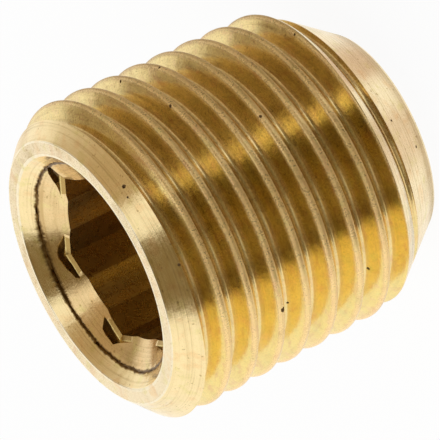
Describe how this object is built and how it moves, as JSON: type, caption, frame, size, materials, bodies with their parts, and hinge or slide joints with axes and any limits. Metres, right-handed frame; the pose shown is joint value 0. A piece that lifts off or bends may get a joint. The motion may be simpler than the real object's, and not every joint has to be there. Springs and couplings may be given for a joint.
{
  "type": "hex socket plug",
  "caption": "Short brass pipe plug with a right-hand taper thread all along, a chamfered closed tip, and a countersunk hexagon socket in its mouth.",
  "frame": {"origin": "centre of the closed tip face, on which the plug stands", "axes": "+Z along the turning axis, from the tip to the socket mouth; +X towards a corner of the hexagon"},
  "size_m": [0.0139, 0.0139, 0.014],
  "materials": {
    "brass": "turned"
  },
  "bodies": {
    "root": {"hex_socket_plug": "brass"}
  },
  "joints": []
}
